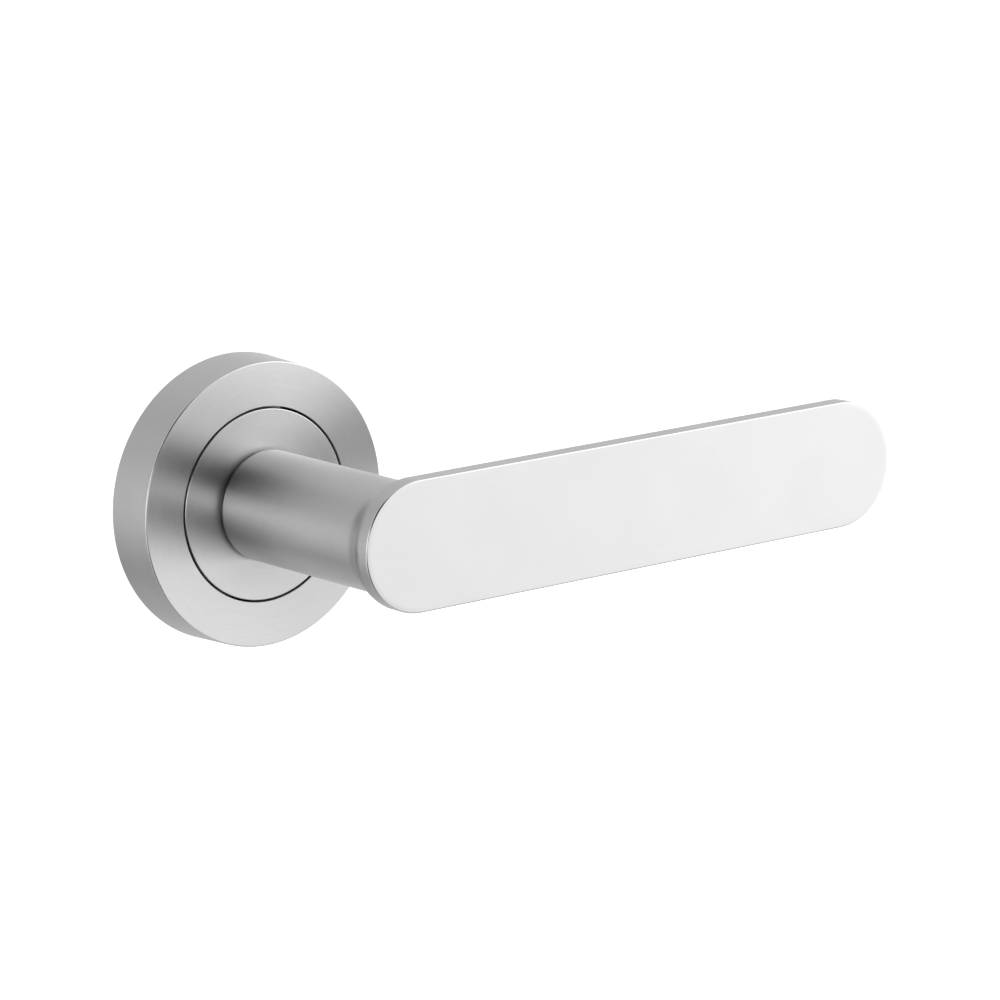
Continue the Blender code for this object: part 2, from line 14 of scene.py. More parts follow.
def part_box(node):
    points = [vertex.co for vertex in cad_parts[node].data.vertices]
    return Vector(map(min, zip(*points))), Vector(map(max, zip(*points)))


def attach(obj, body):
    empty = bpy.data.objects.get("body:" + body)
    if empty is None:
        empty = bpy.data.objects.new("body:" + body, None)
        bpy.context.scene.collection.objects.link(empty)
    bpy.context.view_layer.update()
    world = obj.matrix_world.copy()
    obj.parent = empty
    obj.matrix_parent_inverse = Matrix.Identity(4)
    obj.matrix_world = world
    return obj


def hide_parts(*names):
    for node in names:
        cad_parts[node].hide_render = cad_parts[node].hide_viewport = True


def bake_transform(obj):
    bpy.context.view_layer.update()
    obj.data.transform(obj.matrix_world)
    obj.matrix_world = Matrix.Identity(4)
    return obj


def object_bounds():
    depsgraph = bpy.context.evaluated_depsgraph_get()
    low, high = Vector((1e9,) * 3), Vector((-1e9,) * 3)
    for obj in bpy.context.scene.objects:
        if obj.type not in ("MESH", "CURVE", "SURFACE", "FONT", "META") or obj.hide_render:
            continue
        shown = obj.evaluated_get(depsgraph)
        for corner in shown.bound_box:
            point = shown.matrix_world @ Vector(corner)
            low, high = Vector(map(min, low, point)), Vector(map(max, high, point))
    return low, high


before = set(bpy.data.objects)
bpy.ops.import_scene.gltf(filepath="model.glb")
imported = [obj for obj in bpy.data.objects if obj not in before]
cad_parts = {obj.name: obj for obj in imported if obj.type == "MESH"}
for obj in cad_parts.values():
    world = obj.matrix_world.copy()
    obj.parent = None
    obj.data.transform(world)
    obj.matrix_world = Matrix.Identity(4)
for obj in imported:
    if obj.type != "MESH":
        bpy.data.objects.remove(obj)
cad_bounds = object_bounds()


def front_of(node):
    """How far a node's front stands out of the door."""
    return -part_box(node)[0].y


def back_of(node):
    """How far a node's back stands out of the door, which is negative behind the door's face."""
    return -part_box(node)[1].y


# ---------------------------------------------------------------- sizes, from the frame where it has them

# Play between pieces that slide or turn on each other
CLEARANCE = 0.0003

# Lever: the blade, its flare into the neck, and the shank behind
BLADE_FRONT = front_of("lever")
BLADE_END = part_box("lever")[1].x
BLADE_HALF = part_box("lever")[1].z
BLADE_THICKNESS = 0.0035
BLADE_BACK = BLADE_FRONT - BLADE_THICKNESS
BLADE_EDGE = 0.00028
BLADE_OVERHANG = 0.00035
ROW_GAP = 0.00002  # keeps the fillet's first row off the blade's back
FLARE_FROM = 0.25  # cosines of the angle from the near end, between which the flare fades out
FLARE_TO = 0.75
FLARE_BACK = 0.0470
FLARE_HOLLOW = 0.0042  # the radii of its two arcs, and how steep it is where they meet
FLARE_ROUND = 0.0034
FLARE_SLOPE = math.radians(52)
FLARE_ROWS = 12
NECK_RADIUS = 0.010
NECK_BACK = front_of("rose_cover") + 0.001
NECK_EDGE = 0.00008
NECK_FILLET = 0.0008
GAP_RADIUS = 0.0076  # the narrow part between the neck and the disc, in shadow
SPIGOT_RADIUS = 0.009
SHANK_RADIUS = 0.008
SHANK_BACK = back_of("lever")
CLIP_GROOVE = 0.0072
SOCKET_HALF = 0.0043
SOCKET_FRONT = 0.022
KEY_HALF = 0.0082
GRUB_DEPTH = 0.0145
GRUB_RADIUS = 0.00225

# Rose: the cover and the disc inside it
ROSE_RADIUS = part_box("rose_cover")[1].x
ROSE_FRONT_RADIUS = 0.02563
ROSE_DEPTH = front_of("rose_cover")
DISC_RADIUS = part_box("collar_disc")[1].x
DISC_BACK = back_of("collar_disc")
DISC_EDGE = 0.00018
DISC_BORE = SPIGOT_RADIUS + CLEARANCE
DISC_LIP = 0.0003
COVER_WALL = 0.0012
COVER_FACE = 0.0015
COVER_EDGE = 0.00025
COVER_BORE = DISC_RADIUS + 0.0004

# Base plate with its hub, and what is screwed to it
PLATE_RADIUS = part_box("base_plate")[1].x
PLATE_FRONT = 0.0024
PLATE_GROOVE = 0.0231
HUB_RADIUS = 0.0113
HUB_BORE = 0.0098
HUB_FRONT = 0.0056
POST_HEIGHT = 0.019
POST_RADIUS = 0.0035
POST_SPIGOT = 0.0029
POST_BACK = back_of("post_upper")
POST_THREAD = 0.00165
POST_THREAD_DEPTH = 0.006
WOOD_RADIUS = 0.0188
WOOD_ANGLE = math.radians(56)
WOOD_HOLE = 0.0019
WOOD_HEAD = 0.003
WOOD_HEAD_FRONT = 0.0022
WOOD_HEAD_BACK = 0.0007
WOOD_POINT = back_of("wood_screw_upper")
EAR_RADIUS = 0.0184
SCREW_HEAD = 0.0022
SCREW_RADIUS = 0.00115
SCREW_HEAD_BACK = 0.004
SCREW_HEAD_FRONT = front_of("housing_screw_left")
SCREW_POINT = back_of("housing_screw_left")
GRIP_RADIUS = 0.0240
GRIP_WIRE = 0.0005

# Drive plate, whose tab turns between the housing's two stops
DRIVE_BACK = back_of("drive_plate")
DRIVE_FRONT = front_of("drive_plate")
TAB_ANGLE = math.radians(135)
TAB_WIDTH = 0.004
TAB_TIP = 0.0182
TRAVEL = math.radians(45)

# Return spring
SPRING_RADIUS = 0.0130
SPRING_WIRE = 0.0007
SPRING_PITCH = 0.0015
SPRING_TURNS = 1.6
SPRING_BACK = 0.0033
SPRING_START = math.radians(200)
SPRING_LEAD = math.radians(8)
SPRING_LEG = 0.0166
SPRING_TIP = 0.0073

# Meshes: sides of a large round, steps round an eased edge, and the angle from which an edge stays sharp
FINE = 192
EDGE_STEPS = 6
SHARP = math.radians(32)

# Steel: its tone, gloss and brush lines, and its rubbed edges
STEEL_TONE = 0.63
STEEL_ROUGHNESS = 0.34
STEEL_ROUGHNESS_SPREAD = 0.025
STEEL_ANISOTROPY = 0.85
FINE_LINES = 9000.0
BROAD_LINES = 1500.0
CLOUDS = 70.0
TURNED_STRETCH = 0.0009  # how far the noise moves along a turned line, per radian
BLADE_STRETCH = 0.04  # and along a straight one, per metre
BLADE_CALM = 0.35  # how much of the lines' depth the blade has
FRONT_SKIN = 0.000004  # how far back the rubbed part starts, so that the flats have none
RUBBED_ROUGHNESS = 0.14

# Camera: fitted to the photograph's angle
CAMERA_AIM = Vector((0.0371, -0.0298, -0.0016))
CAMERA_AZIMUTH = math.radians(-38.36)
CAMERA_ELEVATION = math.radians(12.35)
CAMERA_ROLL = math.radians(-1.12)
CAMERA_DISTANCE = 0.920
CAMERA_LENS = 185.7
SENSOR = 36.0

# Studio: azimuth, elevation, half width, half height and softness in degrees, then strength.
# Azimuth 0 is in front of the door's face and grows to the right.
WORLD_BASE = 0.69
SOFTBOXES = [
    (60, 16, 32, 30, 40, 1.60),
    (-36, 4, 44, 12, 18, 0.55),
    (94, -20, 38, 18, 12, 0.40),
    (-98, -10, 10, 56, 8, 1.30),
]
DARK_CARDS = [
    (-54, 46, 46, 20, 14, -1.25),
    (-18, 16, 20, 14, 6, -1.10),
    (-70, -50, 48, 22, 30, -0.65),
    (-28, -24, 20, 16, 6, -0.45),
    (-172, -10, 24, 28, 16, -0.45),
]
LEAST_LIGHT = 0.02
WHITE_BEHIND = 1.05
FLOOR_DROP = 0.55
FLOOR_HALF = 14.0


# ---------------------------------------------------------------- meshes

def arc(centre_radius, centre_depth, radius, start, end, steps=EDGE_STEPS):
    """Profile points round a centre, from one angle in degrees to another."""
    angles = [math.radians(start + (end - start) * i / steps) for i in range(steps + 1)]
    return [(centre_radius + radius * math.cos(a), centre_depth + radius * math.sin(a)) for a in angles]


def circle(radius, depth, sides=FINE):
    """A ring of points about the lever's axis, at a depth out of the door."""
    turns = [2 * math.pi * i / sides for i in range(sides)]
    return [Vector((radius * math.cos(t), -depth, radius * math.sin(t))) for t in turns]


def eased(value, start, end):
    """0 before start, 1 after end and a smooth rise between."""
    share = min(1.0, max(0.0, (value - start) / (end - start)))
    return share * share * (3 - 2 * share)


def blade_turns(steps=FINE // 2):
    """The blade's outline as (centre x, angle) pairs: the far half circle, then the one over the neck."""
    far = BLADE_END - BLADE_HALF
    ends = ((far, -math.pi / 2), (-BLADE_OVERHANG, math.pi / 2))
    return [(centre, start + math.pi * i / steps) for centre, start in ends for i in range(steps + 1)]


def flare_side(centre, turn):
    """The share of the neck's flare in one direction: all of it at the near end, none above and below."""
    return eased(-math.cos(turn), FLARE_FROM, FLARE_TO) if centre < 0 else 0.0


def flare(depth):
    """The flare's section, from 0 at the plain neck to 1 at the blade's edge: a hollow, then a round."""
    crease = FLARE_BACK + FLARE_HOLLOW * math.sin(FLARE_SLOPE)
    front = crease + FLARE_ROUND * math.sin(FLARE_SLOPE)
    whole = (FLARE_HOLLOW + FLARE_ROUND) * (1 - math.cos(FLARE_SLOPE))
    if depth < crease:
        along = max(0.0, depth - FLARE_BACK)
        return (FLARE_HOLLOW - math.sqrt(FLARE_HOLLOW ** 2 - along ** 2)) / whole
    along = max(0.0, front - depth)
    return 1 - (FLARE_ROUND - math.sqrt(FLARE_ROUND ** 2 - along ** 2)) / whole


def blade_row(inset, depth, behind=0.0):
    """The blade's outline at a depth. Its near end is drawn in along the flare, and takes less of the
    inset as behind goes to 1."""
    points = []
    for centre, turn in blade_turns():
        side = flare_side(centre, turn)
        radius = BLADE_HALF - inset * (1 - behind * side)
        x, z = centre + radius * math.cos(turn), radius * math.sin(turn)
        away = math.hypot(x, z)
        scale = 1 - side * (1 - flare(depth)) * (away - NECK_RADIUS) / away
        points.append(Vector((x * scale, -depth, z * scale)))
    return points


def neck_row(extra, depth):
    """A round row of the neck or shank at a depth, with extra radius. In front of the flare's back it is
    drawn out at the blade's near end."""
    points = []
    for centre, turn in blade_turns():
        side = flare_side(centre, turn) if depth > FLARE_BACK else 0.0
        reach = math.hypot(centre + BLADE_HALF * math.cos(turn), BLADE_HALF * math.sin(turn))
        radius = NECK_RADIUS + (1 - side) * extra + side * flare(depth) * (reach - NECK_RADIUS)
        if centre > 0:
            turn *= 1 - 1 / FINE
        points.append(Vector((radius * math.cos(turn), -depth, radius * math.sin(turn))))
    return points


def lofted(name, loops, closed=False):
    """A mesh through loops of equal length. It is capped at both ends, or closed into a ring."""
    shape = bmesh.new()
    rings = [[shape.verts.new(point) for point in loop] for loop in loops]
    pairs = list(zip(rings, rings[1:] + rings[:1])) if closed else list(zip(rings, rings[1:]))
    for one, two in pairs:
        for i in range(len(one)):
            j = (i + 1) % len(one)
            shape.faces.new((one[i], one[j], two[j], two[i]))
    if not closed:
        shape.faces.new(rings[0])
        shape.faces.new(rings[-1])
    bmesh.ops.recalc_face_normals(shape, faces=shape.faces)
    mesh = bpy.data.meshes.new(name)
    shape.to_mesh(mesh)
    shape.free()
    return mesh


def add(name, mesh):
    """Puts a mesh or curve into the scene as an object."""
    made = bpy.data.objects.new(name, mesh)
    bpy.context.scene.collection.objects.link(made)
    return made


def baked(obj):
    """Swaps the object's mesh for the one that its modifiers make."""
    graph = bpy.context.evaluated_depsgraph_get()
    mesh = bpy.data.meshes.new_from_object(obj.evaluated_get(graph))
    obj.modifiers.clear()
    obj.data = mesh
    return obj


def smooth(obj, angle=SHARP):
    """Smooth faces with sharp creases, whose flats keep their own normals."""
    obj.data.shade_smooth()
    obj.data.set_sharp_from_angle(angle=angle)
    weighted = obj.modifiers.new("Normals", "WEIGHTED_NORMAL")
    weighted.keep_sharp = True
    return baked(obj)


def boolean(obj, other, operation, solver="EXACT"):
    """Joins, cuts or trims obj with other, which is used up."""
    modifier = obj.modifiers.new(operation, "BOOLEAN")
    modifier.object = other
    modifier.operation = operation
    modifier.solver = solver
    baked(obj)
    bpy.data.objects.remove(other, do_unlink=True)
    return obj


# ---------------------------------------------------------------- pieces

def turned(name, profile, sides=FINE, place=(0.0, 0.0), closed=True):
    """A profile of (radius, depth) points swept about an axis through place, an (x, z) pair."""
    mesh = lofted(name, [circle(radius, depth, sides) for radius, depth in profile], closed)
    mesh.transform(Matrix.Translation((place[0], 0, place[1])))
    return add(name, mesh)


def drum(radius, back, front, place=(0.0, 0.0), sides=48):
    """A plain round between two depths, to join or to cut with."""
    return turned("drum", [(radius, front), (radius, back)], sides, place, closed=False)


def block(wide, tall, back, front, place=(0.0, 0.0), turn=0.0):
    """A block across the axis, turned about its own centre."""
    shape = bmesh.new()
    size = Matrix.Diagonal((wide, front - back, tall, 1))
    spot = Matrix.Translation((place[0], -(front + back) / 2, place[1]))
    bmesh.ops.create_cube(shape, size=1, matrix=spot @ Matrix.Rotation(-turn, 4, "Y") @ size)
    mesh = bpy.data.meshes.new("block")
    shape.to_mesh(mesh)
    shape.free()
    return add("block", mesh)


def polar(radius, angle):
    """The (x, z) pair at a radius and an angle about the axis."""
    return (radius * math.cos(angle), radius * math.sin(angle))


def threaded(name, rows, core, crest, pitch, sides=40, sharp=0.30, place=(0.0, 0.0)):
    """A turned body whose rows are (depth, core share, thread share), with a helical ridge."""
    loops = []
    for depth, body, height in rows:
        loop = []
        for i in range(sides):
            turn = i / sides
            across = abs((depth / pitch - turn) % 1.0 - 0.5) / sharp
            radius = core * body + (crest - core) * height * max(0.0, 1.0 - across)
            loop.append(Vector((radius * math.cos(2 * math.pi * turn), -depth,
                                radius * math.sin(2 * math.pi * turn))))
        loops.append(loop)
    mesh = lofted(name, loops)
    mesh.transform(Matrix.Translation((place[0], 0, place[1])))
    return add(name, mesh)


def cut_cross(obj, place, front, length, width, depth):
    """Cuts a cross recess into a screw's head."""
    for turn in (math.pi / 4, -math.pi / 4):
        boolean(obj, block(length, width, front - depth, front + depth, place, turn), "DIFFERENCE")


def make_lever():
    """One loft from the blade's front to the shank's end: the blade with its edges eased, the flared neck
    and the stepped shank. The spindle's socket, the flats and the grub screw's hole are then cut."""
    groove = front_of("circlip")
    groove_back = back_of("circlip")
    play = CLEARANCE / 2
    front = arc(BLADE_EDGE, BLADE_FRONT - BLADE_EDGE, BLADE_EDGE, 90, 180)
    rear = arc(BLADE_EDGE, BLADE_BACK + BLADE_EDGE, BLADE_EDGE, 180, 270)
    wall_front, wall_back = BLADE_FRONT - BLADE_EDGE, BLADE_BACK + BLADE_EDGE
    wall = [wall_front + (wall_back - wall_front) * i / FLARE_ROWS for i in range(1, FLARE_ROWS)]
    fillet = arc(NECK_FILLET, BLADE_BACK - NECK_FILLET - ROW_GAP, NECK_FILLET, 90, 180)
    neck_front, neck_plain = fillet[-1][1], FLARE_BACK - NECK_FILLET
    neck_rows = 2 * FLARE_ROWS
    neck = [neck_front + (neck_plain - neck_front) * i / neck_rows for i in range(1, neck_rows + 1)]
    tail = [
        *arc(NECK_RADIUS - NECK_EDGE, NECK_BACK + NECK_EDGE, NECK_EDGE, 0, -90, 3),
        (GAP_RADIUS, NECK_BACK),
        (GAP_RADIUS, ROSE_DEPTH - CLEARANCE),
        (SPIGOT_RADIUS, ROSE_DEPTH - CLEARANCE),
        (SPIGOT_RADIUS, DRIVE_BACK),
        (SHANK_RADIUS, DRIVE_BACK),
        (SHANK_RADIUS, groove + play),
        (CLIP_GROOVE, groove + play),
        (CLIP_GROOVE, groove_back - play),
        (SHANK_RADIUS, groove_back - play),
        *arc(SHANK_RADIUS - CLEARANCE, SHANK_BACK + CLEARANCE, CLEARANCE, 0, -90, 3),
    ]
    rows = [blade_row(4 * BLADE_EDGE, BLADE_FRONT)]
    rows += [blade_row(inset, depth) for inset, depth in front]
    rows += [blade_row(0.0, depth) for depth in wall]
    rows += [blade_row(inset, depth, 1.0) for inset, depth in rear]
    rows += [neck_row(extra, depth) for extra, depth in fillet]
    rows += [neck_row(0.0, depth) for depth in neck]
    rows += [neck_row(radius - NECK_RADIUS, depth) for radius, depth in tail]
    lever = add("lever_handle", lofted("lever_handle", rows))
    socket = 2 * SOCKET_HALF
    boolean(lever, block(socket, socket, SHANK_BACK - socket, SOCKET_FRONT), "DIFFERENCE")
    for side in (-1, 1):
        flat = 2 * (SPIGOT_RADIUS - KEY_HALF)
        place = (side * (KEY_HALF + flat / 2), 0)
        cutter = block(flat, 2 * SPIGOT_RADIUS, DRIVE_BACK - CLEARANCE, DRIVE_FRONT + play, place)
        boolean(lever, cutter, "DIFFERENCE")
    hole = drum(GRUB_RADIUS + play, 0, 2 * NECK_RADIUS)
    hole.data.transform(Matrix.Translation((0, -GRUB_DEPTH, 0)) @ Matrix.Rotation(math.pi / 2, 4, "X"))
    boolean(lever, hole, "DIFFERENCE")
    return smooth(lever)


def make_cover():
    """The outer ring of the rose, a thin cap with a large bore."""
    face_back = ROSE_DEPTH - COVER_FACE
    bore_edge = 0.0001
    profile = [
        *arc(COVER_BORE + bore_edge, ROSE_DEPTH - bore_edge, bore_edge, 180, 90, 3),
        *arc(ROSE_FRONT_RADIUS - COVER_EDGE, ROSE_DEPTH - COVER_EDGE, COVER_EDGE, 90, 0),
        *arc(ROSE_RADIUS - bore_edge, bore_edge, bore_edge, 0, -90, 3),
        (ROSE_RADIUS - COVER_WALL, 0),
        *arc(ROSE_FRONT_RADIUS - 2 * COVER_WALL, face_back - COVER_WALL, COVER_WALL, 0, 90),
        (COVER_BORE, face_back),
    ]
    return smooth(turned("cover_shell", profile))


def make_disc():
    """The inner disc of the rose."""
    profile = [
        *arc(DISC_BORE + DISC_LIP, ROSE_DEPTH - DISC_LIP, DISC_LIP, 180, 90),
        *arc(DISC_RADIUS - DISC_EDGE, ROSE_DEPTH - DISC_EDGE, DISC_EDGE, 90, 0),
        (DISC_RADIUS, DISC_BACK),
        (DISC_BORE, DISC_BACK),
    ]
    return smooth(turned("disc_plate", profile))


def make_spindle():
    """Square bar with eased corners and a chamfered tail."""
    front, back = front_of("spindle"), back_of("spindle")
    ease = 0.0004
    rows = [(front, ease), (front - ease, 0.0), (back + 2 * ease, 0.0), (back, 2 * ease)]
    loops = []
    for depth, inset in rows:
        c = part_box("spindle")[1].x - inset - ease
        corners = [(c, c, 0), (-c, c, 90), (-c, -c, 180), (c, -c, 270)]
        outline = [point for x, z, start in corners for point in arc(x, z, ease, start, start + 90)]
        loops.append([Vector((x, -depth, z)) for x, z in outline])
    return smooth(add("square_bar", lofted("square_bar", loops)))


def make_grub():
    """A set screw with a thread round it, a socket in its head and an eased point."""
    low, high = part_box("grub_screw")
    length = high.z - low.z
    core, pitch = GRUB_RADIUS * 0.86, 0.0007
    socket_radius, socket_depth = 0.00145, 0.0025
    end_share, run_out = 0.82, 1 / 12
    steps = 96
    rows = []
    for i in range(steps + 1):
        share = i / steps
        full = min(1.0, min(share, 1.0 - share) / run_out)
        rows.append((length * share, end_share + (1 - end_share) * full, full))
    grub = threaded("set_screw", rows, core, GRUB_RADIUS, pitch, sharp=0.45)
    boolean(grub, drum(socket_radius, length - socket_depth, 2 * length, sides=6), "DIFFERENCE")
    grub.data.transform(Matrix.Translation((0, -GRUB_DEPTH, high.z)) @ Matrix.Rotation(math.pi / 2, 4, "X"))
    return smooth(grub, math.radians(50))


def make_drive_plate():
    """The stamped plate that turns with the lever, with its tab, its keyhole and the spring's hole."""
    ease = 0.00012
    radius = 0.0152
    middle = 0.003  # well inside the keyhole, which cuts it away
    beyond = TAB_WIDTH
    profile = [
        (middle, DRIVE_FRONT),
        *arc(radius - ease, DRIVE_FRONT - ease, ease, 90, 0, 3),
        *arc(radius - ease, DRIVE_BACK + ease, ease, 0, -90, 3),
        (middle, DRIVE_BACK),
    ]
    plate = turned("drive_stamping", profile)
    place = polar((TAB_TIP + HUB_RADIUS) / 2, TAB_ANGLE)
    tab = block(TAB_TIP - HUB_RADIUS, TAB_WIDTH, DRIVE_BACK, DRIVE_FRONT, place, TAB_ANGLE)
    boolean(plate, tab, "UNION")
    key = drum(SPIGOT_RADIUS + CLEARANCE, DRIVE_BACK - ease, DRIVE_FRONT + ease, sides=96)
    width = 2 * (KEY_HALF + CLEARANCE)
    boolean(key, block(width, 4 * SPIGOT_RADIUS, DRIVE_BACK - beyond, DRIVE_FRONT + beyond), "INTERSECT")
    boolean(plate, key, "DIFFERENCE")
    spot = polar(SPRING_RADIUS, SPRING_START - SPRING_TURNS * 2 * math.pi)
    boolean(plate, drum(SPRING_WIRE + CLEARANCE, DRIVE_BACK - ease, DRIVE_FRONT + ease, spot), "DIFFERENCE")
    return smooth(plate)


def eased_ring(inner, outer, back, front, ease):
    """The profile of a flat ring with its four edges eased."""
    return [
        *arc(inner + ease, front - ease, ease, 180, 90, 3),
        *arc(outer - ease, front - ease, ease, 90, 0, 3),
        *arc(outer - ease, back + ease, ease, 0, -90, 3),
        *arc(inner + ease, back + ease, ease, -90, -180, 3),
    ]


def make_rear_washer():
    """A flat washer behind the base plate."""
    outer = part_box("rear_washer")[1].x
    back, front = back_of("rear_washer"), front_of("rear_washer")
    profile = eased_ring(SHANK_RADIUS + CLEARANCE, outer, back, front, 0.00012)
    return smooth(turned("flat_washer", profile))


def make_wave_washer():
    """A thin spring washer with three waves."""
    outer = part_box("wave_washer")[1].x
    back, front = back_of("wave_washer"), front_of("wave_washer")
    bore = SHANK_RADIUS + CLEARANCE
    middle = (front + back) / 2
    half = 0.00015
    wave = (front - back) / 2 - half
    waves = 3
    rows = [(bore, half), (outer - half / 2, half), (outer, 0.0), (outer - half / 2, -half), (bore, -half)]
    loops = []
    for radius, depth in rows:
        loop = circle(radius, depth)
        for i, point in enumerate(loop):
            point.y -= middle + wave * math.cos(waves * 2 * math.pi * i / FINE)
        loops.append(loop)
    return smooth(add("spring_washer", lofted("spring_washer", loops, closed=True)))


def make_circlip():
    """An open ring whose two ends carry lugs with holes for the pliers."""
    back, front = back_of("circlip"), front_of("circlip")
    inner, outer = 0.0075, 0.0098
    opening = math.radians(26)
    lug_turn = opening + math.radians(4)
    lug, eye = 0.0015, 0.0006
    clip = turned("snap_ring", eased_ring(inner, outer, back, front, 0.0001))
    gap = block(2 * outer * math.sin(opening), outer, back - lug, front + lug, (0.0, -outer))
    boolean(clip, gap, "DIFFERENCE")
    for side in (-1, 1):
        place = polar(outer - lug / 3, side * lug_turn - math.pi / 2)
        boolean(clip, drum(lug, back, front, place), "UNION")
        boolean(clip, drum(eye, back - lug, front + lug, place, 24), "DIFFERENCE")
    return smooth(clip)


def make_base_plate():
    """The steel plate screwed to the door, with its hub, its holes and the groove for the grip ring."""
    ease = 0.0002
    groove = 0.0005
    profile = [
        *arc(HUB_BORE + ease, HUB_FRONT - ease, ease, 180, 90, 3),
        *arc(HUB_RADIUS - ease, HUB_FRONT - ease, ease, 90, 0, 3),
        *arc(HUB_RADIUS + groove, PLATE_FRONT + groove, groove, 180, 270, 4),
        *arc(PLATE_RADIUS - ease, PLATE_FRONT - ease, ease, 90, 0, 3),
        (PLATE_RADIUS, PLATE_FRONT - groove),
        (PLATE_GROOVE, PLATE_FRONT - groove),
        (PLATE_GROOVE, groove),
        (PLATE_RADIUS, groove),
        *arc(PLATE_RADIUS - ease, ease, ease, 0, -90, 3),
        *arc(HUB_BORE + ease, ease, ease, -90, -180, 3),
    ]
    plate = turned("fixing_plate", profile)
    beyond = PLATE_FRONT
    sink = [
        (WOOD_HEAD + CLEARANCE, 2 * beyond),
        (WOOD_HEAD + CLEARANCE, WOOD_HEAD_FRONT),
        (WOOD_HOLE, WOOD_HEAD_BACK),
        (WOOD_HOLE, -beyond),
    ]
    holes = []
    for height in (POST_HEIGHT, -POST_HEIGHT):
        holes.append(drum(POST_SPIGOT + CLEARANCE, -beyond, 2 * beyond, (0.0, height)))
    for turn in (0.0, math.pi):
        holes.append(turned("sink", sink, 48, polar(WOOD_RADIUS, WOOD_ANGLE + turn), closed=False))
        holes.append(drum(SCREW_RADIUS + CLEARANCE, -beyond, 2 * beyond, polar(EAR_RADIUS, turn)))
    for hole in holes:
        boolean(plate, hole, "DIFFERENCE", "MANIFOLD")
    return smooth(plate)


def make_bush():
    """The flanged nylon bearing in the hub."""
    front = front_of("bearing_bush")
    flange = HUB_FRONT + CLEARANCE
    bore, outside = SHANK_RADIUS + CLEARANCE, HUB_BORE - CLEARANCE
    ease = 0.00012
    profile = [
        *arc(bore + ease, front - ease, ease, 180, 90, 3),
        *arc(HUB_RADIUS - ease, front - ease, ease, 90, 0, 3),
        (HUB_RADIUS, flange),
        (outside, flange),
        *arc(outside - ease, ease, ease, 0, -90, 3),
        (bore, 0),
    ]
    return smooth(turned("nylon_bush", profile))


def make_housing():
    """The pressed ring that holds the spring, with its two screwed ears and the two travel stops."""
    bore, outside = 0.0144, 0.0155
    back, front = PLATE_FRONT + CLEARANCE, 0.0063
    ear_front, ear_width, boss_radius = 0.0037, 0.0046, 0.0026
    stop_front, stop_width, stop_inside = 0.0073, 0.003, 0.01565
    ease = 0.0001
    wall = (bore + outside) / 2
    profile = [
        (bore, front),
        *arc(outside - ease, front - ease, ease, 90, 0, 3),
        (outside, back),
        (bore, back),
    ]
    housing = turned("spring_ring", profile)
    for turn in (0.0, math.pi):
        middle = polar((EAR_RADIUS + wall) / 2, turn)
        boolean(housing, block(EAR_RADIUS - wall, ear_width, back, ear_front, middle, turn), "UNION")
        boss = polar(EAR_RADIUS, turn)
        boolean(housing, drum(boss_radius, back - ease / 10, ear_front + ease / 10, boss), "UNION")
        boolean(housing, drum(SCREW_RADIUS + CLEARANCE, 0, stop_front, boss), "DIFFERENCE")
    apart = (TAB_WIDTH / 2 + stop_width / 2 + CLEARANCE) / stop_inside
    for angle in (TAB_ANGLE + apart, TAB_ANGLE - TRAVEL - apart):
        middle = polar((TAB_TIP + wall) / 2, angle)
        stop = block(TAB_TIP - wall, stop_width, back - ease / 5, stop_front, middle, angle)
        boolean(housing, stop, "UNION")
    boolean(housing, drum(stop_inside, front - ease, 2 * stop_front, sides=FINE), "DIFFERENCE")
    slot_length, slot_radius = 0.0036, 0.0148
    wire_room = SPRING_WIRE + CLEARANCE
    place = polar(slot_radius, SPRING_START)
    slot = block(slot_length, 2 * wire_room, 0, SPRING_BACK + wire_room, place, SPRING_START)
    boolean(housing, slot, "DIFFERENCE")
    return smooth(housing)


def make_posts():
    """Fixing posts with a collar, a spigot that fits the base plate and a tapped hole behind."""
    front = PLATE_FRONT - CLEARANCE
    collar_back = -0.0016
    ease = 0.0004
    profile = [
        (POST_SPIGOT - ease / 2, front),
        (POST_SPIGOT, front - ease / 2),
        (POST_SPIGOT, -CLEARANCE),
        *arc(POST_RADIUS - ease / 2, -CLEARANCE - ease / 2, ease / 2, 90, 0, 3),
        (POST_RADIUS, collar_back),
        (POST_RADIUS - ease, collar_back - CLEARANCE),
        (POST_RADIUS - ease, POST_BACK + ease),
        (POST_RADIUS - 2 * ease, POST_BACK),
        (POST_THREAD + ease / 2, POST_BACK),
        (POST_THREAD, POST_BACK + ease / 2),
        (POST_THREAD, POST_BACK + POST_THREAD_DEPTH),
    ]
    made = []
    for name, height in (("upper", POST_HEIGHT), ("lower", -POST_HEIGHT)):
        post = turned(f"threaded_post_{name}", profile, 96, (0.0, height), closed=False)
        made.append((smooth(post), f"post_{name}"))
    return made


